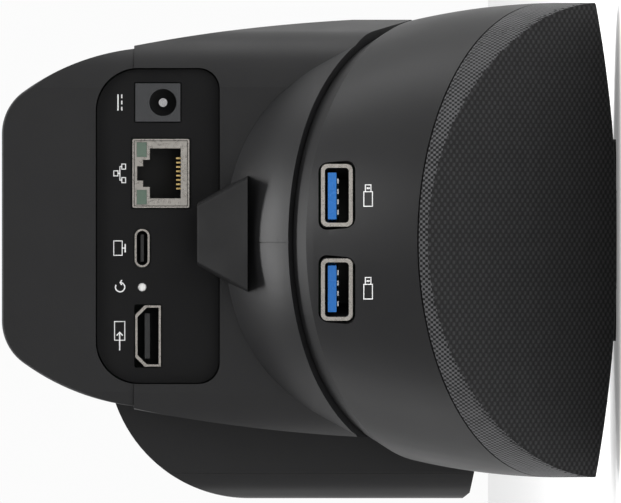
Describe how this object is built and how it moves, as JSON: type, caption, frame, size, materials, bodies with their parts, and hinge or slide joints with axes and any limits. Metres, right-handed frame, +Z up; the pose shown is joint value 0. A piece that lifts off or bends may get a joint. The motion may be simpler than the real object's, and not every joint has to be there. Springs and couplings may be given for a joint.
{
  "type": "ptz camera",
  "caption": "Conference camera head that pans beside a connector housing on a tilted round speaker base, with a mesh-covered grille.",
  "frame": {"origin": "centre of the tripod thread's mouth, under the base", "axes": "+Z up, -Y towards the connectors, +Y towards the side where the head stands"},
  "size_m": [0.1178, 0.1257, 0.1453],
  "materials": {
    "body_plastic": "satin, fine grain",
    "panel_plastic": "matt",
    "knit_cover": "open knitted mesh",
    "frame_plastic": "matt",
    "foot_rubber": "matt",
    "brass_insert": "machined",
    "ballast_iron": "rough",
    "steel": "brushed",
    "cone_paper": "pressed paper pulp",
    "port_steel": "nickel plated",
    "blue_plastic": "semi-gloss",
    "contact_brass": "gold plated",
    "light_pipe": "frosted",
    "circuit_board": "solder resist",
    "window_glass": "clear, tinted",
    "lens_glass": "coated"
  },
  "bodies": {
    "base": {"drum_shell": "body_plastic", "deck": "body_plastic", "grille_skin": "knit_cover", "grille_frame": "frame_plastic", "foot_plate": "frame_plastic", "rubber_foot": "foot_rubber", "tripod_insert": "brass_insert", "ballast": "ballast_iron", "speaker_basket": "steel", "speaker_cone": "cone_paper", "speaker_magnet": "steel", "usb_shells": "port_steel", "usb_tongues": "blue_plastic", "usb_board": "circuit_board", "dome_cover": "body_plastic", "cable_guard": "body_plastic", "rear_housing": "body_plastic", "top_cover": "body_plastic", "front_cover": "body_plastic", "connector_panel": "panel_plastic", "hdmi_receptacle": "port_steel", "type_c_receptacle": "port_steel", "lan_jack": "port_steel", "lan_insert": "frame_plastic", "lan_lights": "light_pipe", "lan_contacts": "contact_brass", "dc_jack": "frame_plastic", "dc_pin": "steel", "reset_switch": "frame_plastic", "main_board": "circuit_board", "board_screws": "steel", "pan_bearing": "frame_plastic", "hdmi_tongue": "frame_plastic", "type_c_tongue": "frame_plastic"},
    "head": {"head_shell": "body_plastic", "head_bezel": "panel_plastic", "front_window": "window_glass", "status_light": "light_pipe", "tilt_frame": "frame_plastic", "tilt_motor": "steel", "tilt_axles": "steel", "pan_spindle": "steel", "head_board": "circuit_board"},
    "lens": {"lens_barrel": "frame_plastic", "lens_ring": "frame_plastic", "front_lens": "lens_glass", "image_sensor": "circuit_board"},
    "zoom": {"zoom_carrier": "frame_plastic", "zoom_lens": "lens_glass"},
    "reset": {"reset_button": "frame_plastic"}
  },
  "joints": [
    {"name": "head_pan", "type": "hinge", "parent": "base", "child": "head", "pos_m": [0, 0.022, 0], "axis": [0, 0, 1], "range_deg": [-180, 0]},
    {"name": "lens_tilt", "type": "hinge", "parent": "head", "child": "lens", "pos_m": [-0.034, 0.022, 0.068], "axis": [0, 1, 0], "range_deg": [-20, 20]},
    {"name": "zoom_slide", "type": "slide", "parent": "lens", "child": "zoom", "axis": [1, 0, 0], "range_m": [-0.004, 0.009]},
    {"name": "reset_press", "type": "slide", "parent": "base", "child": "reset", "axis": [0, 1, 0], "range_m": [0, 0.0006], "stiffness_N_per_m": 1500}
  ]
}
